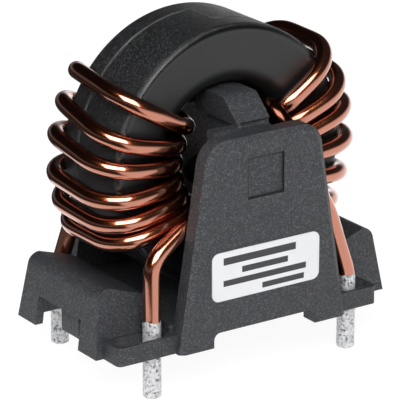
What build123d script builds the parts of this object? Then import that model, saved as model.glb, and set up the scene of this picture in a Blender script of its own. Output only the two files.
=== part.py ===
from build123d import *
import os
from math import cos, radians, sin, tan

os.makedirs("parts", exist_ok=True)

# Common mode choke for through-hole mounting, in millimetres.
# X runs along the front upright, Y along the toroid's axis with the front at -Y, and Z is up.
# The origin is the centre of the four pins, on the plane that the holder's feet stand on.
# The holder, the case and the core come back to themselves when turned half a turn about Z.
# The windings nearly do: their turns lie a little differently, as in wire wound by hand.

# Pins and wire
pin_pitch_x = 30.0
pin_pitch_y = 22.0
pin_reach = 5.9
pin_tip_chamfer = 0.35
wire_diameter = 2.24
wire_sides = 12
tin_thickness = 0.05
tin_top = -0.3

# Case of the core
case_axis_height = 21.7
case_outer_radius = 17.1
case_bore_radius = 9.1
case_half_width = 6.4
case_wall = 1.3
rim_round = 1.5
mouth_round = 2.8
rim_facets = 2
mouth_facets = 2
seam_step = 2.6

# Core
core_clearance = 0.1

# Windings, each turn an outer leg, a front leg, an inner leg and a rear leg
outer_leg_gap = 1.28
outer_corner_gap = 0.43
leg_clearance = 0.06
outer_bend = 4.8
inner_bend = 3.2
lead_bend = 3.2
outer_bend_facets = 3
other_bend_facets = 2
left_rear_angles = [-27.0, -15.3, -3.3, 12.2, 24.5, 36.3]
left_front_angles = [-27.4, -19.0, -7.0, 6.4, 16.5, 37.5]
right_front_angles = [-27.8, -15.5, -1.8, 12.1, 21.5, 36.2]
right_rear_angles = [-28.5, -20.5, -5.0, 7.5, 29.0, 42.0]
inner_first_angle = -66.2
inner_pitch_angle = 17.2
lead_offset = 10.2
front_lead_corners = [(-15.0, -11.0, 12.0), (-9.0, -10.2, 15.6)]
rear_lead_corners = [(-8.0, 10.2, 21.5), (-12.3, 10.6, 13.0), (-15.0, 11.0, 4.6)]

# End blocks of the holder
block_reach = 22.2
block_inner_reach = 13.6
block_half_depth = 9.4
block_draft = 8.0
block_crest_height = 8.6
block_crest_inset = 2.6
block_top_slope = 18.0
block_crest_round = 1.5
block_wall = 1.1
foot_gap_half = 5.1
foot_gap_height = 3.9
stub_half_depth = 2.0
stub_thickness = 1.2
stub_gap = 0.2

# Shelves of the holder, with the slots that the pins pass through
shelf_front = 12.9
shelf_height = 2.4
shelf_long_reach = 21.1
shelf_short_reach = 18.5
shelf_corner = 0.7
slot_width = 2.8
long_slot_outer = 20.3
slot_inner = 13.4
short_slot_outer = 17.9

# Uprights and floor of the holder
upright_front = 14.15
upright_thickness = 2.5
upright_foot_half_width = 12.75
upright_head_half_width = 8.35
upright_height = 26.8
upright_corner = 3.2
bevel_across = 0.7
bevel_deep = 0.5
arch_half_width = 7.75
arch_height = 1.9
arch_corner = 0.9
floor_thickness = 1.5
floor_gap = 1.2
badge_half_width = 2.7
badge_bottom = 18.7
badge_top = 24.0
badge_depth = 0.25

# Necks and tongues of the holder, which carry the case by its bore
tongue_half_width = 2.5
tongue_seat_gap = 0.05
tongue_end = 2.0
tongue_underside = 27.3
tongue_slope = 43.0
tongue_knee = 3.5
tongue_nose = 1.2
neck_depth = 1.5
neck_reach = 6.2
neck_height = 3.2
gusset_half_width = 2.1
gusset_reach = 7.6
gusset_tip = 1.4
gusset_root = 4.4
groove_radius = 0.45
groove_inset = 0.2
groove_side_reach = 2.0

# Label
label_width = 16.3
label_height = 6.4
label_middle_height = 9.3
label_corner = 1.0
label_thickness = 0.15

# Sizes that follow from the ones above
wire_radius = wire_diameter / 2
tin_radius = wire_radius + tin_thickness
pin_x = pin_pitch_x / 2
pin_y = pin_pitch_y / 2
outer_leg_radius = case_outer_radius + outer_leg_gap + wire_radius
inner_leg_radius = case_bore_radius - leg_clearance - wire_radius
inner_corner_offset = case_half_width + leg_clearance + wire_radius
outer_corner_offset = case_half_width + outer_corner_gap + wire_radius
upright_back = upright_front - upright_thickness
shelf_back = block_half_depth - block_wall
shelf_depth = shelf_front - shelf_back
floor_reach = block_inner_reach + block_wall
floor_top = case_axis_height - case_outer_radius - floor_gap
cavity_radius = case_bore_radius + case_wall
cavity_thickness = case_outer_radius - case_bore_radius - 2 * case_wall
cavity_half_width = case_half_width - case_wall
case_axis = Axis((0, 0, case_axis_height), (0, 1, 0))
half_turn = (0, 0, 180)


# Points where straight runs meet, that go round a corner and touch the arc of its bend
def corner_points(before, corner, after, radius, count):
    back = (Vector(before) - Vector(corner)).normalized()
    ahead = (Vector(after) - Vector(corner)).normalized()
    half_angle = radians(180 - back.get_angle(ahead)) / 2
    start = Vector(corner) + back * radius * tan(half_angle)
    centre = Vector(corner) + (back + ahead).normalized() * (radius / cos(half_angle))
    outward = (start - centre).normalized()
    step = 2 * half_angle / count
    reach = radius / cos(step / 2)
    angles = [(i + 0.5) * step for i in range(count)]
    return [centre + (outward * cos(a) - back * sin(a)) * reach for a in angles]


# Tongue: a sloped nose that rises behind the upright, rounds over and runs into the bore
tongue_radius = case_bore_radius - tongue_seat_gap
tongue_top = case_axis_height + tongue_radius
slope_run = (tongue_top - tongue_underside) / tan(radians(tongue_slope))
with BuildPart() as tongue:
    with BuildSketch(Plane.YZ) as tongue_side:
        with BuildLine() as tongue_outline:
            FilletPolyline(
                (-upright_back, tongue_underside),
                (-upright_back + slope_run, tongue_top),
                (-tongue_end, tongue_top),
                (-tongue_end, tongue_underside),
                radius=[tongue_knee, tongue_nose],
            )
            Line((-tongue_end, tongue_underside), (-upright_back, tongue_underside))
        make_face()
    extrude(amount=tongue_half_width, both=True)
    with BuildSketch(Plane.XZ) as bore_section:
        with Locations((0, case_axis_height)):
            Circle(tongue_radius)
    extrude(amount=upright_front, mode=Mode.INTERSECT)
    with BuildSketch(Plane.YZ) as gusset_side:
        with BuildLine() as gusset_outline:
            Polyline(
                (-upright_back, tongue_underside),
                (-upright_back + gusset_reach, tongue_underside),
                (-upright_back + gusset_reach, tongue_underside - gusset_tip),
                (-upright_back, tongue_underside - gusset_root),
                close=True,
            )
        make_face()
    extrude(amount=gusset_half_width, both=True)

# End block: a drafted hood, open underneath, whose top slopes down toward the winding
crest_x = block_reach - block_crest_inset
slope_drop = tan(radians(block_top_slope))
block_lean = tan(radians(block_draft))
with BuildPart() as end_block:
    with BuildSketch() as block_foot:
        with Locations((-(block_reach + block_inner_reach) / 2, 0)):
            Rectangle(block_reach - block_inner_reach, 2 * block_half_depth)
    extrude(amount=block_crest_height + block_wall, taper=block_draft)
    with BuildSketch(Plane.XZ) as above_crest:
        with BuildLine() as crest_line:
            Polyline(
                (-block_reach, block_crest_height),
                (-crest_x, block_crest_height),
                (0, block_crest_height - crest_x * slope_drop),
                (0, 2 * block_crest_height),
                (-block_reach, 2 * block_crest_height),
                close=True,
            )
        make_face()
    extrude(amount=block_half_depth, both=True, mode=Mode.SUBTRACT)
    outer_crest = edges().filter_by(Axis.Y).sort_by(Axis.X)[:2].sort_by(Axis.Z)[-1]
    fillet(outer_crest, block_crest_round)
    offset(amount=-block_wall, openings=faces().sort_by(Axis.Z)[0])
    # gap between the block's two feet, with a stub behind it
    with BuildSketch(Plane.YZ.offset(-block_reach)) as foot_gap:
        with Locations((0, 0)):
            Rectangle(2 * foot_gap_half, foot_gap_height, align=(Align.CENTER, Align.MIN))
    extrude(amount=block_wall + foot_gap_height * block_lean + stub_gap, mode=Mode.SUBTRACT)
    stub_x = -block_reach + block_wall + foot_gap_height * block_lean + 2 * stub_gap
    with BuildSketch() as stub_foot:
        with Locations((stub_x + stub_thickness / 2, 0)):
            Rectangle(stub_thickness, 2 * stub_half_depth)
    extrude(amount=block_crest_height - block_wall / 2)

# One side of the holder: an end block, a shelf and an upright
with BuildPart() as holder_side:
    add(end_block.part)
    # shelf, long at the left and short at the right, with a slot for each pin
    with BuildSketch() as shelf_outline:
        with Locations((0, -shelf_front)):
            Rectangle(shelf_long_reach, shelf_depth, align=(Align.MAX, Align.MIN))
            Rectangle(shelf_short_reach, shelf_depth, align=(Align.MIN, Align.MIN))
        fillet(vertices().group_by(Axis.Y)[0], shelf_corner)
        with Locations((0, -shelf_front)):
            Rectangle(
                2 * arch_half_width + 2 * upright_thickness,
                shelf_depth,
                align=(Align.CENTER, Align.MIN),
                mode=Mode.SUBTRACT,
            )
        with Locations((-(long_slot_outer + slot_inner) / 2, -pin_y)):
            SlotOverall(long_slot_outer - slot_inner, slot_width, mode=Mode.SUBTRACT)
        with Locations(((short_slot_outer + slot_inner) / 2, -pin_y)):
            SlotOverall(short_slot_outer - slot_inner, slot_width, mode=Mode.SUBTRACT)
    extrude(amount=shelf_height)
    # floor under the toroid, from the upright's foot to the middle and between the end blocks
    with BuildSketch(Plane.XY.offset(floor_top)) as floor_outline:
        with Locations((0, -upright_back)):
            Rectangle(2 * upright_foot_half_width, upright_back, align=(Align.CENTER, Align.MIN))
        with Locations((0, -shelf_back)):
            Rectangle(2 * floor_reach, shelf_back, align=(Align.CENTER, Align.MIN))
    extrude(amount=-floor_thickness)
    # upright, with a bevelled face and an arch between its feet
    with BuildSketch(Plane.XZ.offset(upright_back)) as upright_outline:
        with BuildLine() as upright_edge:
            Polyline(
                (-upright_foot_half_width, 0),
                (-upright_head_half_width, upright_height),
                (upright_head_half_width, upright_height),
                (upright_foot_half_width, 0),
                close=True,
            )
        make_face()
        fillet(vertices().group_by(Axis.Y)[-1], upright_corner)
    extrude(amount=upright_thickness)
    front_face = faces().filter_by(Axis.Y).sort_by(Axis.Y)[0]
    chamfer(
        front_face.edges().sort_by(Axis.Z)[1:],
        length=bevel_across,
        length2=bevel_deep,
        reference=front_face,
    )
    with BuildSketch(Plane.XZ.offset(upright_back)) as arch_outline:
        Rectangle(2 * arch_half_width, arch_height, align=(Align.CENTER, Align.MIN))
        fillet(vertices().group_by(Axis.Y)[-1], arch_corner)
    extrude(amount=upright_thickness, mode=Mode.SUBTRACT)
    with BuildSketch(Plane.XZ.offset(upright_front)) as badge_outline:
        with Locations((0, badge_bottom)):
            Rectangle(
                2 * badge_half_width,
                badge_top - badge_bottom,
                align=(Align.CENTER, Align.MIN),
            )
    extrude(amount=-badge_depth, mode=Mode.SUBTRACT)
    # neck behind the upright's head, beside the space that the second lead comes down through
    with BuildSketch(Plane.XZ.offset(upright_back)) as neck_outline:
        with Locations((-neck_reach, tongue_underside)):
            Rectangle(
                neck_reach + tongue_half_width, neck_height, align=(Align.MIN, Align.MAX)
            )
    extrude(amount=-neck_depth)
    add(tongue.part)
    # groove across the foot of the tongue's slope, open at the lead's side
    groove_length = groove_side_reach + tongue_half_width
    with Locations((-groove_side_reach, groove_inset - upright_back, tongue_underside)):
        Cylinder(
            groove_radius,
            groove_length,
            rotation=(0, 90, 0),
            align=(Align.CENTER, Align.CENTER, Align.MIN),
            mode=Mode.SUBTRACT,
        )

with BuildPart() as holder:
    add(holder_side.part)
    add(holder_side.part, rotation=half_turn)
holder.part.label = "holder"
export_step(holder.part, "parts/holder.step")

# Space for the core in the case's section, right of the axis
with BuildSketch(Plane.XY.offset(case_axis_height)) as core_space:
    with Locations((cavity_radius, 0)):
        Rectangle(cavity_thickness, 2 * cavity_half_width, align=(Align.MIN, Align.CENTER))

# Case: two shells from one mould, parted by a face that steps along the axis at top and bottom
bore_front = (case_bore_radius, -case_half_width)
bore_rear = (case_bore_radius, case_half_width)
rim_front = (case_outer_radius, -case_half_width)
rim_rear = (case_outer_radius, case_half_width)
case_corners = corner_points(bore_rear, bore_front, rim_front, mouth_round, mouth_facets)
case_corners += corner_points(bore_front, rim_front, rim_rear, rim_round, rim_facets)
case_corners += corner_points(rim_front, rim_rear, bore_rear, rim_round, rim_facets)
case_corners += corner_points(rim_rear, bore_rear, bore_front, mouth_round, mouth_facets)
with BuildPart() as case_front:
    with BuildSketch(Plane.XY.offset(case_axis_height)) as case_section:
        with BuildLine() as case_outline:
            Polyline(*case_corners, close=True)
        make_face()
        add(core_space.sketch, mode=Mode.SUBTRACT)
    revolve(axis=case_axis)
    with BuildSketch() as parting_outline:
        with BuildLine() as parting_line:
            Polyline(
                (-case_outer_radius, seam_step),
                (0, seam_step),
                (0, -seam_step),
                (case_outer_radius, -seam_step),
                (case_outer_radius, case_half_width),
                (-case_outer_radius, case_half_width),
                close=True,
            )
        make_face()
    extrude(amount=2 * case_axis_height, mode=Mode.SUBTRACT)
case_front.part.label = "case_front"
export_step(case_front.part, "parts/case_front.step")

with BuildPart() as case_rear:
    add(case_front.part, rotation=half_turn)
case_rear.part.label = "case_rear"
export_step(case_rear.part, "parts/case_rear.step")

# Core: a ring that fills its space in the case but for a small clearance
with BuildPart() as core:
    with BuildSketch(Plane.XY.offset(case_axis_height)) as core_section:
        add(core_space.sketch)
        offset(amount=-core_clearance, mode=Mode.REPLACE)
    revolve(axis=case_axis)
core.part.label = "core"
export_step(core.part, "parts/core.step")


# A place on a winding at the left, by its radius and its angle up from the horizontal at the left
def winding_point(radius, angle, y):
    x = -radius * cos(radians(angle))
    z = case_axis_height + radius * sin(radians(angle))
    return (x, y, z)


# Points along a winding at the left: up from the front pin, through the bore, once round the case
# for each pair of angles, and down to the rear pin
def wire_points(rear_angles, front_angles):
    inner_angle = inner_first_angle
    corners = list(front_lead_corners)
    corners.append(winding_point(inner_leg_radius, inner_angle, -lead_offset))
    bends = [lead_bend, lead_bend, inner_bend]
    for rear_angle, front_angle in zip(rear_angles, front_angles):
        inner_angle += inner_pitch_angle
        corners.append(winding_point(inner_leg_radius, inner_angle, inner_corner_offset))
        corners.append(winding_point(outer_leg_radius, rear_angle, outer_corner_offset))
        corners.append(winding_point(outer_leg_radius, front_angle, -outer_corner_offset))
        corners.append(winding_point(inner_leg_radius, inner_angle, -inner_corner_offset))
        bends += [inner_bend, outer_bend, outer_bend, inner_bend]
    inner_angle += inner_pitch_angle
    corners.append(winding_point(inner_leg_radius, inner_angle, lead_offset))
    corners += rear_lead_corners
    bends += [inner_bend, lead_bend, lead_bend, lead_bend]
    ends = [(-pin_x, -pin_y, -pin_reach / 2)] + corners + [(-pin_x, pin_y, -pin_reach / 2)]
    points = [Vector(ends[0])]
    for before, corner, after, bend in zip(ends, corners, ends[2:], bends):
        facets = outer_bend_facets if bend == outer_bend else other_bend_facets
        points += corner_points(before, corner, after, bend, facets)
    points.append(Vector(ends[-1]))
    return points


left_points = wire_points(left_rear_angles, left_front_angles)
right_points = wire_points(right_front_angles, right_rear_angles)
right_points = [Vector(-p.X, -p.Y, p.Z) for p in right_points]
pin_height = pin_reach + tin_top

with BuildPart() as winding_left:
    with BuildLine() as left_path:
        Polyline(*left_points)
    with BuildSketch(Plane(left_points[0])) as left_section:
        RegularPolygon(wire_radius, wire_sides)
    sweep(path=left_path.line, transition=Transition.RIGHT)
    with Locations((-pin_x, -pin_y, -pin_reach), (-pin_x, pin_y, -pin_reach)):
        Cylinder(tin_radius, pin_height, align=(Align.CENTER, Align.CENTER, Align.MIN))
    chamfer(edges().group_by(Axis.Z)[0], pin_tip_chamfer)
winding_left.part.label = "winding_left"
export_step(winding_left.part, "parts/winding_left.step")

with BuildPart() as winding_right:
    with BuildLine() as right_path:
        Polyline(*right_points)
    with BuildSketch(Plane(right_points[0])) as right_section:
        RegularPolygon(wire_radius, wire_sides)
    sweep(path=right_path.line, transition=Transition.RIGHT)
    with Locations((pin_x, -pin_y, -pin_reach), (pin_x, pin_y, -pin_reach)):
        Cylinder(tin_radius, pin_height, align=(Align.CENTER, Align.CENTER, Align.MIN))
    chamfer(edges().group_by(Axis.Z)[0], pin_tip_chamfer)
winding_right.part.label = "winding_right"
export_step(winding_right.part, "parts/winding_right.step")

# Label on the front upright
with BuildPart() as label:
    with BuildSketch(Plane.XZ.offset(upright_front)) as label_outline:
        with Locations((0, label_middle_height)):
            RectangleRounded(label_width, label_height, label_corner)
    extrude(amount=label_thickness)
label.part.label = "label"
export_step(label.part, "parts/label.step")
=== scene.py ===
import bpy
import bmesh
import numpy as np
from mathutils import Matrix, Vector


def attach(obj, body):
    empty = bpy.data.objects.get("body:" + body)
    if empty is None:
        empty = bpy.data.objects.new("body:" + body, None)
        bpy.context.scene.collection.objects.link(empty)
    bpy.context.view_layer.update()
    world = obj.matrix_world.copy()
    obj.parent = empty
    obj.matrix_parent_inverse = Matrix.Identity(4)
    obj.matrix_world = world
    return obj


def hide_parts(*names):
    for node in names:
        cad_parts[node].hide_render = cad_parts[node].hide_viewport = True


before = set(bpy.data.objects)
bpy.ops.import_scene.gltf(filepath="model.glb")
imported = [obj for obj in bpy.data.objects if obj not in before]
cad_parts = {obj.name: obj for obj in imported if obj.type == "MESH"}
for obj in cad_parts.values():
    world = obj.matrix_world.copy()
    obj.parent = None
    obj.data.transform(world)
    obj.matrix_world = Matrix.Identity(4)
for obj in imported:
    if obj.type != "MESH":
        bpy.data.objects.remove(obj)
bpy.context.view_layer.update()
print("frame loaded, nodes:", sorted(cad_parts))

mm = 0.001


# small helpers for meshes

# an object for a mesh, shaded smooth except at edges sharper than the angle
def pieceFor(name, mesh, sharpAngle):
    mesh.shade_smooth()
    mesh.set_sharp_from_angle(angle=np.radians(sharpAngle))
    piece = bpy.data.objects.new(name, mesh)
    bpy.context.scene.collection.objects.link(piece)
    return piece


# a piece from whole arrays: points in millimetres, faces as rows of four indices
def meshPiece(name, points, quads, sharpAngle):
    mesh = bpy.data.meshes.new(name)
    mesh.from_pydata((points.reshape(-1, 3) * mm).tolist(), [], quads.tolist())
    mesh.update()
    return pieceFor(name, mesh, sharpAngle)


# quads of a grid whose columns close into a ring, and whose rows do too where asked
def gridQuads(rows, columns, closeRows):
    row = np.arange(rows if closeRows else rows - 1)[:, None]
    column = np.arange(columns)[None, :]
    nextRow = (row + 1) % rows
    nextColumn = (column + 1) % columns
    corners = [row * columns + column, row * columns + nextColumn,
               nextRow * columns + nextColumn, nextRow * columns + column]
    return np.stack(corners, -1).reshape(-1, 4)


# turns the faces of a piece outwards, and closes its open ends first where asked
def outwards(piece, closeEnds=False):
    shape = bmesh.new()
    shape.from_mesh(piece.data)
    if closeEnds:
        rims = [edge for edge in shape.edges if edge.is_boundary]
        bmesh.ops.holes_fill(shape, edges=rims, sides=0)
    bmesh.ops.recalc_face_normals(shape, faces=shape.faces)
    shape.to_mesh(piece.data)
    shape.free()


# rows of vectors, each made one unit long
def unit(rows):
    return rows / np.linalg.norm(rows, axis=1)[:, None]


# length along a path up to each of its points
def lengthAlong(path):
    steps = np.linalg.norm(np.diff(path, axis=0), axis=1)
    return np.concatenate([[0], np.cumsum(steps)])


# a piece that takes the place of a CAD node, with its finish
def finishPiece(piece, material, node):
    piece.data.materials.clear()
    piece.data.materials.append(material)
    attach(piece, "root")
    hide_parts(node)


# a CAD node that keeps its shape and gets a better material
def dressNode(name, material):
    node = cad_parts[name]
    node.data.materials.clear()
    node.data.materials.append(material)


# small helpers for materials

def newMaterial(name):
    material = bpy.data.materials.new(name)
    material.use_nodes = True
    material.node_tree.nodes.clear()
    return material, material.node_tree


# a socket takes another node's output or a fixed value, and a colour comes without its alpha
def feed(tree, socket, value):
    if isinstance(value, bpy.types.NodeSocket):
        tree.links.new(value, socket)
    elif socket.type == "RGBA":
        socket.default_value = (*value, 1.0)
    else:
        socket.default_value = value


def addNode(tree, kind, inputs=None, **settings):
    node = tree.nodes.new(kind)
    for key, value in settings.items():
        setattr(node, key, value)
    for key, value in (inputs or {}).items():
        feed(tree, node.inputs[key], value)
    return node


def mathNode(tree, operation, first, second=None):
    inputs = {0: first} if second is None else {0: first, 1: second}
    return addNode(tree, "ShaderNodeMath", inputs, operation=operation).outputs[0]


# a value that runs smoothly from low to high as the input runs from start to end
def rangeNode(tree, value, start, end, low=0.0, high=1.0):
    inputs = {"Value": value, "From Min": start, "From Max": end, "To Min": low, "To Max": high}
    node = addNode(tree, "ShaderNodeMapRange", inputs, interpolation_type="SMOOTHSTEP")
    return node.outputs["Result"]


# a colour that changes with a value; the stops are (position, red, green, blue)
def rampNode(tree, value, stops):
    node = addNode(tree, "ShaderNodeValToRGB", {"Fac": value})
    elements = node.color_ramp.elements
    elements[0].position, elements[1].position = stops[0][0], stops[-1][0]
    elements[0].color, elements[1].color = (*stops[0][1:], 1), (*stops[-1][1:], 1)
    for position, *color in stops[1:-1]:
        elements.new(position).color = (*color, 1)
    return node.outputs["Color"]


# ramp stops that are shares of one colour
def shades(color, shares):
    return [(position, *(part * share for part in color)) for position, share in shares]


def mixColor(tree, share, first, second, blend="MIX"):
    inputs = {0: share, 6: first, 7: second}
    return addNode(tree, "ShaderNodeMix", inputs, data_type="RGBA", blend_type=blend).outputs[2]


def mixShader(tree, share, first, second):
    return addNode(tree, "ShaderNodeMixShader", {0: share, 1: first, 2: second}).outputs[0]


def objectCoordinates(tree):
    return tree.nodes.new("ShaderNodeTexCoord").outputs["Object"]


def axesOf(tree, vector):
    return addNode(tree, "ShaderNodeSeparateXYZ", {0: vector}).outputs


def noiseNode(tree, place, scale, detail=2.0, roughness=0.5):
    inputs = {"Vector": place, "Scale": scale, "Detail": detail, "Roughness": roughness}
    return addNode(tree, "ShaderNodeTexNoise", inputs).outputs["Fac"]


# a random value for each small cell of the given size
def grainNode(tree, place, size):
    inputs = {"Vector": place, "Scale": 1 / size, "Randomness": 1.0}
    cells = addNode(tree, "ShaderNodeTexVoronoi", inputs)
    return addNode(tree, "ShaderNodeSeparateColor", {0: cells.outputs["Color"]}).outputs[0]


def bumpNode(tree, height, distance, under=None):
    inputs = {"Height": height, "Distance": distance, "Strength": 1.0}
    if under is not None:
        inputs["Normal"] = under
    return addNode(tree, "ShaderNodeBump", inputs).outputs["Normal"]


# distance of a point from the toroid's axis: the root of x squared + (z - axis height) squared
def axisDistance(tree, axes, axisHeight):
    height = mathNode(tree, "SUBTRACT", axes["Z"], axisHeight * mm)
    squares = [mathNode(tree, "MULTIPLY", part, part) for part in (axes["X"], height)]
    return mathNode(tree, "SQRT", mathNode(tree, "ADD", *squares))


# distance of a coordinate from a place on its axis, which is in millimetres
def farFrom(tree, value, place):
    return mathNode(tree, "ABSOLUTE", mathNode(tree, "SUBTRACT", value, place * mm))


def endMaterial(tree, shader):
    addNode(tree, "ShaderNodeOutputMaterial", {"Surface": shader})


# camera, at the photograph's viewing angle

cameraView = {
    "azimuth": -34.006,
    "elevation": 19.305,
    "distance": 383.99,
    "target": (-0.373, 0.0, 14.065),
    "lens": 269.62,
    "sensor": 36.0,
    "nearest": 0.01,
}


# unit vector toward an azimuth from the front and an elevation, in degrees
def towards(azimuth, elevation):
    turn, rise = np.radians(azimuth), np.radians(elevation)
    return Vector((np.sin(turn) * np.cos(rise), -np.cos(turn) * np.cos(rise), np.sin(rise)))


def makeCamera(view):
    back = towards(view["azimuth"], view["elevation"])
    data = bpy.data.cameras.new("camera")
    data.lens = view["lens"]
    data.sensor_width = view["sensor"]
    data.clip_start = view["nearest"]
    camera = bpy.data.objects.new("camera", data)
    camera.location = (Vector(view["target"]) + back * view["distance"]) * mm
    camera.rotation_euler = back.to_track_quat("Z", "Y").to_euler()
    bpy.context.scene.collection.objects.link(camera)
    bpy.context.scene.camera = camera


makeCamera(cameraView)
print("camera placed")


# holder: the CAD moulding with its edges eased, in grained charcoal plastic, and painted highlight
# on the eased edges

holderMoulding = {
    "easeRadius": 0.16,
    "easeSegments": 2,
    "easeAngle": 28.0,
    "mergeDistance": 0.002,
    "flatAngle": 0.4,
    "color": (0.036, 0.0385, 0.044),
    "specks": [(0.0, 0.4), (0.7, 1.0), (1.0, 2.7)],  # shares of the colour
    # painted highlight: the eased edges get a lighter copy of the plastic
    "edgeHighlightLift": 1.9,  # the eased edges are lighter
    "grainSize": 0.15,
    "grainNoise": (3.0, 0.6),  # detail and roughness
    "grainDepth": 0.16,
    "roughness": 0.39,
    "roughnessSpread": 0.14,
    "patches": 180.0,
    "squareMiddle": (0.0, 21.35),
    "squareHalf": (2.62, 2.57),
    "squareFront": -12.3,
    # painted shade along the corner line of the recessed square
    "lineHalf": 0.10,
    "paintedLineShade": 0.25,
}


# The corner line of the recessed square gets painted shade, for the shade in its corner. It lies
# on the front upright, where the larger of |x| - half width and |z| - half height, measured from
# the square's middle, is near zero.
def squarePaintedShade(tree, place, holder):
    axes = axesOf(tree, place)
    beyond = [mathNode(tree, "SUBTRACT", farFrom(tree, axes[axis], middle), half * mm)
              for axis, middle, half in zip("XZ", holder["squareMiddle"], holder["squareHalf"])]
    offset = mathNode(tree, "ABSOLUTE", mathNode(tree, "MAXIMUM", *beyond))
    line = holder["lineHalf"] * mm
    shadeOutline = rangeNode(tree, offset, line, 2 * line, 1.0, 0.0)
    front = mathNode(tree, "LESS_THAN", axes["Y"], holder["squareFront"] * mm)
    return mathNode(tree, "MULTIPLY", shadeOutline, front)


# speckled charcoal plastic, whose colour is lifted by a factor; the lifted copy is painted
# highlight
def holderPlastic(name, holder, lift):
    material, tree = newMaterial(name)
    place = objectCoordinates(tree)
    color = [lift * part for part in holder["color"]]
    size = holder["grainSize"] * mm
    specks = rampNode(tree, grainNode(tree, place, size), shades(color, holder["specks"]))
    shadeOutline = squarePaintedShade(tree, place, holder)
    patches = noiseNode(tree, place, holder["patches"])
    spread = mathNode(tree, "MULTIPLY", patches, holder["roughnessSpread"])
    grain = noiseNode(tree, place, 1 / size, *holder["grainNoise"])
    shader = addNode(tree, "ShaderNodeBsdfPrincipled", {
        "Base Color": mixColor(tree, shadeOutline, specks, (holder["paintedLineShade"],) * 3, "MULTIPLY"),
        "Roughness": mathNode(tree, "ADD", spread, holder["roughness"]),
        "Normal": bumpNode(tree, grain, holder["grainDepth"] * mm)})
    endMaterial(tree, shader.outputs[0])
    return material


# the CAD moulding, merged and with its flat faces joined, so that a bevel can ease its edges
def makeHolder(name, holder):
    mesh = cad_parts["holder"].data.copy()
    mesh.name = name
    shape = bmesh.new()
    shape.from_mesh(mesh)
    bmesh.ops.remove_doubles(shape, verts=shape.verts, dist=holder["mergeDistance"] * mm)
    bmesh.ops.dissolve_limit(shape, angle_limit=np.radians(holder["flatAngle"]),
                             verts=shape.verts, edges=shape.edges)
    shape.to_mesh(mesh)
    shape.free()
    piece = pieceFor(name, mesh, holder["easeAngle"])
    finishPiece(piece, holderPlastic("holderPlastic", holder, 1.0), "holder")
    mesh.materials.append(holderPlastic("holderEdgesPaintedHighlight", holder, holder["edgeHighlightLift"]))
    bevel = piece.modifiers.new("easedEdges", "BEVEL")
    bevel.width = holder["easeRadius"] * mm
    bevel.segments = holder["easeSegments"]
    bevel.limit_method = "ANGLE"
    bevel.angle_limit = np.radians(holder["easeAngle"])
    bevel.harden_normals = True
    # the eased edges take the lighter copy, a painted highlight
    bevel.material = 1


makeHolder("holderMoulding", holderMoulding)
print("holder finished")


# case: two half shells whose seam steps along the axis at the top and the bottom

caseShell = {
    "axisHeight": 21.7,
    "outerRadius": 17.1,
    "boreRadius": 9.1,
    "halfWidth": 6.4,
    "wall": 1.3,
    "rimRound": 0.95,
    "mouthRound": 2.8,
    "seamStep": 2.6,
    "seamChamfer": 0.20,
    "seamGap": 0.08,
    "jogTurn": 0.002,  # half the angle that a step of the seam takes, in radians
    "columns": 240,
    "arcSteps": 10,
    "sharpAngle": 30.0,
    "color": (0.010, 0.0105, 0.0112),
    "specks": [(0.0, 0.5), (0.7, 1.7), (1.0, 7.0)],  # shares of the colour
    "faceShare": 0.85,
    "grainSize": 0.16,
    "grainNoise": (4.0, 0.65),  # detail and roughness
    "grainDepth": 0.16,
    "faceGrain": 0.18,  # share of the grain that the faces keep
    "wallStart": 16.7,
    "wallEnd": 17.05,
    "rimStart": 15.9,
    "rimEnd": 16.3,
    "roughness": 0.32,
    "roughnessSpread": 0.12,
    "rimPolish": 0.27,  # taken off the roughness
    "patches": 160.0,
    # painted highlight beside the seam: its colour, reach, fade and patches
    "seamHighlight": (0.11, 0.113, 0.117),
    "highlightReach": 0.13,
    "highlightFade": 0.10,
    "highlightPatches": (0.38, 0.62, 0.25, 0.9),  # noise from and to, painted highlight from and to
}


# Painted highlight beside the stepped seam, for light caught on its chamfer: it is full where
# |y + step * sign x - reach| is below reach, and between the two halves of the seam where |x| is
# below reach and |y| below the step.
def seamPaintedHighlight(tree, axes, shell):
    reach, fade, step = (shell[key] * mm for key in ("highlightReach", "highlightFade", "seamStep"))
    shifted = mathNode(tree, "MULTIPLY", mathNode(tree, "SIGN", axes["X"]), step)
    offset = mathNode(tree, "SUBTRACT", mathNode(tree, "ADD", axes["Y"], shifted), reach)
    along = rangeNode(tree, mathNode(tree, "ABSOLUTE", offset), reach, reach + fade, 1.0, 0.0)
    across = rangeNode(tree, mathNode(tree, "ABSOLUTE", axes["X"]), reach, reach + fade, 1.0, 0.0)
    between = mathNode(tree, "LESS_THAN", mathNode(tree, "ABSOLUTE", axes["Y"]), step)
    return mathNode(tree, "MAXIMUM", along, mathNode(tree, "MULTIPLY", across, between))
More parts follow.
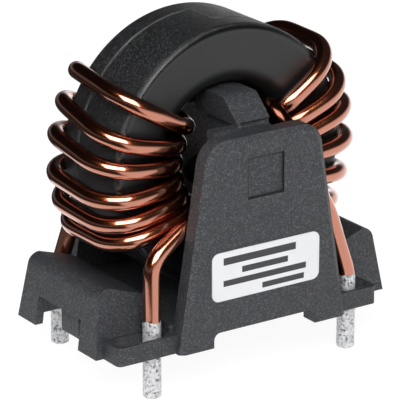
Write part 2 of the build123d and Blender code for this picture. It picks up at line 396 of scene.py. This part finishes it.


# the outer wall has a coarse spark grain, the rim is polished and the faces are nearly smooth; a
# painted highlight runs beside the seam on the outer wall
def casePlastic(shell):
    material, tree = newMaterial("casePlastic")
    place = objectCoordinates(tree)
    axes = axesOf(tree, place)
    radius = axisDistance(tree, axes, shell["axisHeight"])
    wall = rangeNode(tree, radius, shell["wallStart"] * mm, shell["wallEnd"] * mm)
    rim = rangeNode(tree, radius, shell["rimStart"] * mm, shell["rimEnd"] * mm)
    rim = mathNode(tree, "MULTIPLY", rim, mathNode(tree, "SUBTRACT", 1.0, wall))
    size = shell["grainSize"] * mm
    broad = noiseNode(tree, place, shell["patches"])
    specks = rampNode(tree, grainNode(tree, place, size), shades(shell["color"], shell["specks"]))
    plain = tuple(part * shell["faceShare"] for part in shell["color"])
    # painted highlight beside the seam, on the outer wall, broken into patches
    highlighted = mathNode(tree, "MULTIPLY", wall, seamPaintedHighlight(tree, axes, shell))
    highlighted = mathNode(tree, "MULTIPLY", rangeNode(tree, broad, *shell["highlightPatches"]), highlighted)
    spread = mathNode(tree, "MULTIPLY", broad, shell["roughnessSpread"])
    roughness = mathNode(tree, "ADD", spread, shell["roughness"])
    polish = mathNode(tree, "MULTIPLY", rim, shell["rimPolish"])
    share = mathNode(tree, "MULTIPLY", wall, 1 - shell["faceGrain"])
    share = mathNode(tree, "ADD", share, shell["faceGrain"])
    grain = noiseNode(tree, place, 1 / size, *shell["grainNoise"])
    grain = mathNode(tree, "MULTIPLY", grain, share)
    shader = addNode(tree, "ShaderNodeBsdfPrincipled", {
        "Base Color": mixColor(tree, highlighted, mixColor(tree, wall, plain, specks), shell["seamHighlight"]),
        "Roughness": mathNode(tree, "SUBTRACT", roughness, polish),
        "Normal": bumpNode(tree, grain, shell["grainDepth"] * mm)})
    endMaterial(tree, shader.outputs[0])
    return material


# Section of the front shell at every angle: radii, and places from the middle plane. Points of the
# mouth's arc are its centre - round * (cos t, sin t), and points of the rim's arc are its centre +
# round * (sin t, -cos t). A point that follows the seam adds the seam's place.
def shellSection(shell, seam):
    bore, outer, half = shell["boreRadius"], shell["outerRadius"], shell["halfWidth"]
    mouth, rim = shell["mouthRound"], shell["rimRound"]
    wall, edge = shell["wall"], shell["seamChamfer"]
    turn = np.linspace(0, np.pi / 2, shell["arcSteps"])
    radii = np.concatenate([
        [bore], bore + mouth * (1 - np.cos(turn)), outer - rim * (1 - np.sin(turn)),
        [outer, outer - edge, outer - wall, outer - wall, bore + wall, bore + wall]])
    places = np.concatenate([
        [0], mouth * (1 - np.sin(turn)) - half, rim * (1 - np.cos(turn)) - half,
        [-edge, 0, 0, wall - half, wall - half, 0]])
    follows = np.concatenate([[1], 0 * turn, 0 * turn, [1, 1, 1, 0, 0, 1]])
    return radii[None, :], places[None, :] + follows[None, :] * seam[:, None]


# Shell point = (radius cos angle, place, axis height + radius sin angle). The rear shell is the
# same one turned half a turn about the vertical, so its x and y are negated.
def makeShell(name, shell, side, material, node):
    even = (np.arange(shell["columns"]) + 0.5) * 2 * np.pi / shell["columns"]
    jogs = np.array([[0.5], [1.5]]) * np.pi + shell["jogTurn"] * np.array([[-1, 1]])
    angles = np.sort(np.concatenate([even, jogs.ravel()]))
    # the front shell reaches further back at the left, where the cosine is below zero
    step = np.where(np.cos(angles) < 0, shell["seamStep"], -shell["seamStep"])
    radii, places = shellSection(shell, step - shell["seamGap"] / 2)
    x = radii * np.cos(angles)[:, None]
    z = radii * np.sin(angles)[:, None] + shell["axisHeight"]
    points = np.stack([side * x, side * places, z], -1)
    piece = meshPiece(name, points, gridQuads(*places.shape, True), shell["sharpAngle"])
    outwards(piece)
    finishPiece(piece, material, node)


caseMaterial = casePlastic(caseShell)
makeShell("caseFrontShell", caseShell, 1, caseMaterial, "case_front")
makeShell("caseRearShell", caseShell, -1, caseMaterial, "case_rear")
print("case finished")


# windings: enamelled wire whose tinned ends are the pins

windingWire = {
    "radius": 1.12,
    "pin": (15.0, 11.0, 5.9),  # from the middle along X and Y, and the reach below the holder
    "axisHeight": 21.7,
    "coreRadius": 13.1,
    "innerRadius": 7.92,
    "innerOffset": 7.58,  # offsets are from the middle plane, to the front and the rear
    "innerBend": 3.2,
    "leadBend": 3.2,
    "leadOffset": 10.2,
    "leadAngles": (-66.2, 54.2),
    "frontLead": [(-15.0, -11.0, 12.0), (-9.0, -10.2, 15.6)],
    "rearLead": [(-8.0, 10.2, 21.5), (-12.3, 10.6, 13.0), (-15.0, 11.0, 4.6)],
    "soften": 0.7,
    "spacing": 0.22,
    "bendSteps": 15,
    "sides": 28,
    "sharpAngle": 50.0,
    "tinTop": 4.3,
    "tinBlend": 0.09,
    "tinThickness": 0.05,
    "tipRound": 0.35,
    "enamel": (0.45, 0.117, 0.042),
    # painted shade in the case's bore: darker enamel and less clear coat between these radii
    "boreShadeColor": (0.10, 0.025, 0.010),
    "boreStart": 8.4,
    "boreEnd": 11.0,
    "boreCoat": 0.2,  # share of the clear coat in the bore
    "roughness": 0.21,
    "coatRoughness": 0.05,
    "coatIor": 2.0,
    "waves": 420.0,
    "waveDepth": 0.03,
    "tinTones": [(0.34, 0.10, 0.10, 0.105), (0.47, 0.62, 0.62, 0.64), (0.70, 0.86, 0.86, 0.87)],
    "tinMetallic": 0.45,
    "tinRoughness": 0.45,
    "pits": (2600.0, 3.0, 0.6),  # noise scale, detail and roughness
    "pitDepth": 0.09,
    "lumps": 900.0,
    "lumpDepth": 0.10,
    "edgeWander": 0.9,
    "edgeBand": (0.36, 0.56),  # above the top of the tin
}
# angles up from the horizontal, for each turn from the lowest
leftTurns = {
    "outerRadius": 19.5,
    "outerOffset": 7.95,
    "outerBend": 4.8,
    "inner": [-45.7, -29.3, -13.0, 3.3, 19.7, 37.0],
    "rear": [-27.0, -16.0, -4.5, 11.0, 24.3, 36.3],
    "front": [-26.3, -18.4, -8.4, 4.8, 15.6, 32.0],
}
# made at the left too and then turned half a turn, so that the rear legs here come to the front
rightTurns = {
    "outerRadius": 19.45,
    "outerOffset": 8.1,
    "outerBend": 5.3,
    "inner": [-49.0, -31.8, -14.6, 2.6, 19.8, 37.0],
    "rear": [-27.8, -15.5, -1.8, 12.1, 21.5, 36.2],
    "front": [-28.5, -20.5, -5.0, 7.5, 26.5, 38.3],
}


# Corners of one winding at the left, in the order that the wire runs, with the bend at each. A
# place on the ring is (-radius cos angle, y, axis height + radius sin angle).
def windingCorners(wire, turns):
    def ringPlace(radius, angle, y):
        angle = np.radians(angle)
        return (-radius * np.cos(angle), y, wire["axisHeight"] + radius * np.sin(angle))

    inner, offset, innerBend = wire["innerRadius"], wire["innerOffset"], wire["innerBend"]
    outer, outerOffset, outerBend = turns["outerRadius"], turns["outerOffset"], turns["outerBend"]
    pinX, pinY, pinReach = wire["pin"]
    corners = [(-pinX, -pinY, -pinReach)] + wire["frontLead"]
    corners.append(ringPlace(inner, wire["leadAngles"][0], -wire["leadOffset"]))
    bends = [wire["leadBend"]] * 2 + [innerBend]
    for angle, rear, front in zip(turns["inner"], turns["rear"], turns["front"]):
        corners += [ringPlace(inner, angle, offset), ringPlace(outer, rear, outerOffset),
                    ringPlace(outer, front, -outerOffset), ringPlace(inner, angle, -offset)]
        bends += [innerBend, outerBend, outerBend, innerBend]
    corners.append(ringPlace(inner, wire["leadAngles"][1], wire["leadOffset"]))
    corners += wire["rearLead"] + [(-pinX, pinY, -pinReach)]
    bends += [innerBend] + [wire["leadBend"]] * 3
    return np.array(corners), np.array(bends)


# Path of straight runs and arcs, all corners at once: arc point = centre + bend * (outward cos t -
# back sin t). It is sampled evenly and then softened by an average with the bell-shaped weights
# exp(-(distance / soften) squared / 2) along its length.
def softPath(corners, bends, wire):
    corner, before, after = corners[1:-1], corners[:-2], corners[2:]
    back, ahead = unit(before - corner), unit(after - corner)
    half = (np.pi - np.arccos(np.clip((back * ahead).sum(1), -1, 1))) / 2
    start = corner + back * (bends * np.tan(half))[:, None]
    centre = corner + unit(back + ahead) * (bends / np.cos(half))[:, None]
    outward = unit(start - centre)
    turn = (2 * half)[:, None, None] * np.linspace(0, 1, wire["bendSteps"])[None, :, None]
    arcs = outward[:, None] * np.cos(turn) - back[:, None] * np.sin(turn)
    arcs = centre[:, None] + bends[:, None, None] * arcs
    path = np.concatenate([corners[:1], arcs.reshape(-1, 3), corners[-1:]])
    along = lengthAlong(path)
    spacing, soften = wire["spacing"], wire["soften"]
    even = np.linspace(0, along[-1], int(along[-1] / spacing) + 1)
    path = np.stack([np.interp(even, along, path[:, k]) for k in range(3)], -1)
    reach = int(3 * soften / spacing)  # steps to where the weights have died away
    bell = np.exp(-0.5 * (np.arange(-reach, reach + 1) * spacing / soften) ** 2)
    bell /= bell.sum()
    # the ends are carried on in a straight line, so that they stay where they are
    lead = path[0] + (path[0] - path[1]) * np.arange(reach, 0, -1)[:, None]
    tail = path[-1] + (path[-1] - path[-2]) * np.arange(1, reach + 1)[:, None]
    longer = np.concatenate([lead, path, tail])
    return np.stack([np.convolve(longer[:, k], bell, "valid") for k in range(3)], -1)


# Radius along the path: wire + tin thickness / (1 + exp((z - tin top) / blend)) - tip round *
# (1 - root of (1 - ease squared)), where ease runs from 1 at each tip to 0.
def wireRadii(path, wire):
    along = lengthAlong(path)
    fromEnd = np.minimum(along, along[-1] - along)
    tinned = 1 / (1 + np.exp((path[:, 2] - wire["tinTop"]) / wire["tinBlend"]))
    ease = np.clip(1 - fromEnd / wire["tipRound"], 0, 1)
    rounding = wire["tipRound"] * (1 - np.sqrt(1 - ease ** 2))
    return wire["radius"] + wire["tinThickness"] * tinned - rounding


# Round wire along a path: ring point = path point + radius * (outward cos t + over sin t). Outward
# points away from the circle in the middle of the core and is square to the wire, and over is
# square to both.
def makeWinding(name, wire, turns, side, material, node):
    path = softPath(*windingCorners(wire, turns), wire) * np.array([side, side, 1])
    tangent = unit(np.gradient(path, axis=0))
    axis = np.array([0, 0, wire["axisHeight"]])
    outward = path - axis - wire["coreRadius"] * unit((path - axis) * np.array([1, 0, 1]))
    outward = unit(outward - tangent * (outward * tangent).sum(1)[:, None])
    over = np.cross(tangent, outward)
    turn = np.linspace(0, 2 * np.pi, wire["sides"], endpoint=False)[None, :, None]
    ring = outward[:, None] * np.cos(turn) + over[:, None] * np.sin(turn)
    points = path[:, None] + ring * wireRadii(path, wire)[:, None, None]
    piece = meshPiece(name, points, gridQuads(len(path), wire["sides"], False), wire["sharpAngle"])
    outwards(piece, closeEnds=True)
    finishPiece(piece, material, node)


# glossy enamel over copper, with painted shade in the case's bore (a darker colour and less clear
# coat), and mottled tin on the ends
def enamelledCopper(wire):
    material, tree = newMaterial("enamelledCopper")
    place = objectCoordinates(tree)
    axes = axesOf(tree, place)
    radius = axisDistance(tree, axes, wire["axisHeight"])
    # painted shade: the enamel darkens and loses coat toward the bore
    clear = rangeNode(tree, radius, wire["boreStart"] * mm, wire["boreEnd"] * mm)
    coat = mathNode(tree, "MULTIPLY", clear, 1 - wire["boreCoat"])
    waves = noiseNode(tree, place, wire["waves"])
    enamel = addNode(tree, "ShaderNodeBsdfPrincipled", {
        "Base Color": mixColor(tree, clear, wire["boreShadeColor"], wire["enamel"]),
        "Metallic": 1.0,
        "Roughness": wire["roughness"],
        "Coat Weight": mathNode(tree, "ADD", coat, wire["boreCoat"]),
        "Coat Roughness": wire["coatRoughness"],
        "Coat IOR": wire["coatIor"],
        "Normal": bumpNode(tree, waves, wire["waveDepth"] * mm)})
    pits = noiseNode(tree, place, *wire["pits"])
    lumps = noiseNode(tree, place, wire["lumps"])
    uneven = bumpNode(tree, lumps, wire["lumpDepth"] * mm)
    tin = addNode(tree, "ShaderNodeBsdfPrincipled", {
        "Base Color": rampNode(tree, pits, wire["tinTones"]),
        "Metallic": wire["tinMetallic"],
        "Roughness": wire["tinRoughness"],
        "Normal": bumpNode(tree, pits, wire["pitDepth"] * mm, uneven)})
    wander = mathNode(tree, "MULTIPLY", lumps, wire["edgeWander"] * mm)
    edge = mathNode(tree, "ADD", axes["Z"], wander)
    low, high = ((wire["tinTop"] + end) * mm for end in wire["edgeBand"])
    tinned = rangeNode(tree, edge, low, high, 1.0, 0.0)
    endMaterial(tree, mixShader(tree, tinned, enamel.outputs[0], tin.outputs[0]))
    return material


copperMaterial = enamelledCopper(windingWire)
makeWinding("windingLeftWire", windingWire, leftTurns, 1, copperMaterial, "winding_left")
makeWinding("windingRightWire", windingWire, rightTurns, -1, copperMaterial, "winding_right")
print("windings finished")


# core, sealed in the case

coreFinish = {
    "grain": (3000.0, 3.0),  # noise scale and detail
    "tones": [(0.3, 0.05, 0.05, 0.055), (0.7, 0.10, 0.10, 0.105)],
    "roughness": 0.6,
}


def ferriteMaterial(finish):
    material, tree = newMaterial("ferrite")
    grain = noiseNode(tree, objectCoordinates(tree), *finish["grain"])
    shader = addNode(tree, "ShaderNodeBsdfPrincipled", {
        "Base Color": rampNode(tree, grain, finish["tones"]),
        "Roughness": finish["roughness"]})
    endMaterial(tree, shader.outputs[0])
    return material


dressNode("core", ferriteMaterial(coreFinish))
print("core finished")


# label: white film with plain bars

labelPrint = {
    "middle": (0.0, 9.3),
    "paper": (0.90, 0.91, 0.925),
    "ink": (0.035, 0.035, 0.04),
    "roughness": 0.42,
    # across and up from the middle, width and height
    "bars": [(-1.0, 1.95, 11.0, 0.95), (-0.2, 0.45, 7.0, 0.80),
             (-0.2, -0.95, 12.6, 0.80), (2.6, -2.30, 6.4, 0.75)],
}


# a bar is inked where both |x - its middle| and |z - its middle| are less than half its size
def labelFilm(label):
    material, tree = newMaterial("labelFilm")
    axes = axesOf(tree, objectCoordinates(tree))
    ink = 0.0
    for across, up, width, height in label["bars"]:
        beside = farFrom(tree, axes["X"], label["middle"][0] + across)
        beyond = farFrom(tree, axes["Z"], label["middle"][1] + up)
        inside = [mathNode(tree, "LESS_THAN", beside, width / 2 * mm),
                  mathNode(tree, "LESS_THAN", beyond, height / 2 * mm)]
        ink = mathNode(tree, "MAXIMUM", ink, mathNode(tree, "MULTIPLY", *inside))
    shader = addNode(tree, "ShaderNodeBsdfPrincipled", {
        "Base Color": mixColor(tree, ink, label["paper"], label["ink"]),
        "Roughness": label["roughness"]})
    endMaterial(tree, shader.outputs[0])
    return material


dressNode("label", labelFilm(labelPrint))
print("label finished")


# floor, background and lamps; only the floor's height is in millimetres, and the rest in metres

studio = {
    "floorHeight": -5.9,
    "floorSize": 3.0,
    "floorColor": (0.9, 0.9, 0.9),
    "seenShare": 0.82,  # the rest of what the camera sees of the floor holds the shadow
    "seenWhite": 1.14,
    "ambient": 0.15,
    # what gloss mirrors: the floor's bright side, a pool of it round the left, and a pale horizon
    "mirroredFloor": 1.2,
    "brightSide": (0.85, -0.53),
    "floorEdge": (-0.012, 0.006),
    "poolMiddle": (-0.025, 0.010, 0.0),
    "poolEdge": (0.036, 0.050),
    "skyEdge": (-0.25, 0.15),
    "skyRise": (0.02, 0.30),
    "paleWall": 0.20,
    "dark": 0.03,
}
lampAim = (0.0, 0.0, 0.017)
# each lamp either lights the object or is mirrored in its gloss
lamps = {
    "keyLamp": {"azimuth": -34.0, "elevation": 42.0, "distance": 0.60, "size": (0.42, 0.34),
                "power": 2.8, "lights": True, "mirrored": False},
    "glintLamp": {"azimuth": -36.0, "elevation": 42.0, "distance": 0.60, "size": (0.50, 0.40),
                  "power": 5.0, "lights": False, "mirrored": True},
    "sideLamp": {"azimuth": -105.0, "elevation": 28.0, "distance": 0.70, "size": (0.50, 0.50),
                 "power": 1.5, "lights": True, "mirrored": False},
    "frontLamp": {"azimuth": 20.0, "elevation": 20.0, "distance": 0.70, "size": (0.50, 0.50),
                  "power": 0.5, "lights": True, "mirrored": False},
}


# how far a point or a direction lies toward the studio's bright side
def brightness(tree, axes, settings, edge):
    parts = [mathNode(tree, "MULTIPLY", axes[axis], share)
             for axis, share in zip("XY", settings["brightSide"])]
    return rangeNode(tree, mathNode(tree, "ADD", *parts), *edge, settings["dark"], 1.0)


# white light of a strength, from a surface or from the background
def whiteLight(tree, kind, strength):
    return addNode(tree, kind, {"Color": (1, 1, 1), "Strength": strength}).outputs[0]


# nearly white to the camera, and lit by the lamps for other rays; gloss mirrors its bright side and
# the pool
def floorMaterial(settings):
    material, tree = newMaterial("paleFloor")
    rays = tree.nodes.new("ShaderNodeLightPath").outputs
    place = objectCoordinates(tree)
    plain = addNode(tree, "ShaderNodeBsdfDiffuse", {"Color": settings["floorColor"]})
    glow = whiteLight(tree, "ShaderNodeEmission", settings["seenWhite"])
    ends = {0: place, 1: settings["poolMiddle"]}
    reach = addNode(tree, "ShaderNodeVectorMath", ends, operation="DISTANCE").outputs["Value"]
    pool = rangeNode(tree, reach, *settings["poolEdge"], 1.0, settings["dark"])
    side = brightness(tree, axesOf(tree, place), settings, settings["floorEdge"])
    white = mathNode(tree, "MAXIMUM", pool, side)
    white = mathNode(tree, "MULTIPLY", white, settings["mirroredFloor"])
    mirrored = whiteLight(tree, "ShaderNodeEmission", white)
    seen = mathNode(tree, "MULTIPLY", rays["Is Camera Ray"], settings["seenShare"])
    gloss = mathNode(tree, "MAXIMUM", rays["Is Glossy Ray"], rays["Is Transmission Ray"])
    shader = mixShader(tree, seen, plain.outputs[0], glow)
    endMaterial(tree, mixShader(tree, gloss, shader, mirrored))
    return material


def makeFloor(settings):
    half, height = settings["floorSize"] / 2, settings["floorHeight"] * mm
    mesh = bpy.data.meshes.new("floor")
    mesh.from_pydata([(-half, -half, height), (half, -half, height), (half, half, height),
                      (-half, half, height)], [], [(0, 1, 2, 3)])
    mesh.materials.append(floorMaterial(settings))
    floor = bpy.data.objects.new("floor", mesh)
    bpy.context.scene.collection.objects.link(floor)


# white to the camera and a faint light on the object; gloss mirrors a bright side low down, under a
# dark ceiling
def makeWorld(settings):
    world = bpy.data.worlds.new("studio")
    bpy.context.scene.world = world
    world.use_nodes = True
    tree = world.node_tree
    tree.nodes.clear()
    axes = axesOf(tree, tree.nodes.new("ShaderNodeTexCoord").outputs["Generated"])
    rays = tree.nodes.new("ShaderNodeLightPath").outputs
    low = rangeNode(tree, axes["Z"], *settings["skyRise"], 1.0, settings["dark"])
    side = mathNode(tree, "MULTIPLY", low, brightness(tree, axes, settings, settings["skyEdge"]))
    wall = mathNode(tree, "MULTIPLY", low, settings["paleWall"])
    strengths = [settings["ambient"], mathNode(tree, "MAXIMUM", side, wall), 1.0]
    ambient, mirrored, seen = [
        whiteLight(tree, "ShaderNodeBackground", strength) for strength in strengths]
    shader = mixShader(tree, rays["Is Glossy Ray"], ambient, mirrored)
    shader = mixShader(tree, rays["Is Camera Ray"], shader, seen)
    addNode(tree, "ShaderNodeOutputWorld", {"Surface": shader})


def makeLamp(name, lamp, aim):
    back = towards(lamp["azimuth"], lamp["elevation"])
    data = bpy.data.lights.new(name, "AREA")
    data.shape = "RECTANGLE"
    data.size, data.size_y = lamp["size"]
    data.energy = lamp["power"]
    piece = bpy.data.objects.new(name, data)
    piece.location = Vector(aim) + back * lamp["distance"]
    piece.rotation_euler = back.to_track_quat("Z", "Y").to_euler()
    piece.visible_diffuse = lamp["lights"]
    piece.visible_glossy = lamp["mirrored"]
    bpy.context.scene.collection.objects.link(piece)


makeFloor(studio)
makeWorld(studio)
for lampName, lampSettings in lamps.items():
    makeLamp(lampName, lampSettings, lampAim)
bpy.context.scene.view_settings.view_transform = "Standard"
print("studio finished")
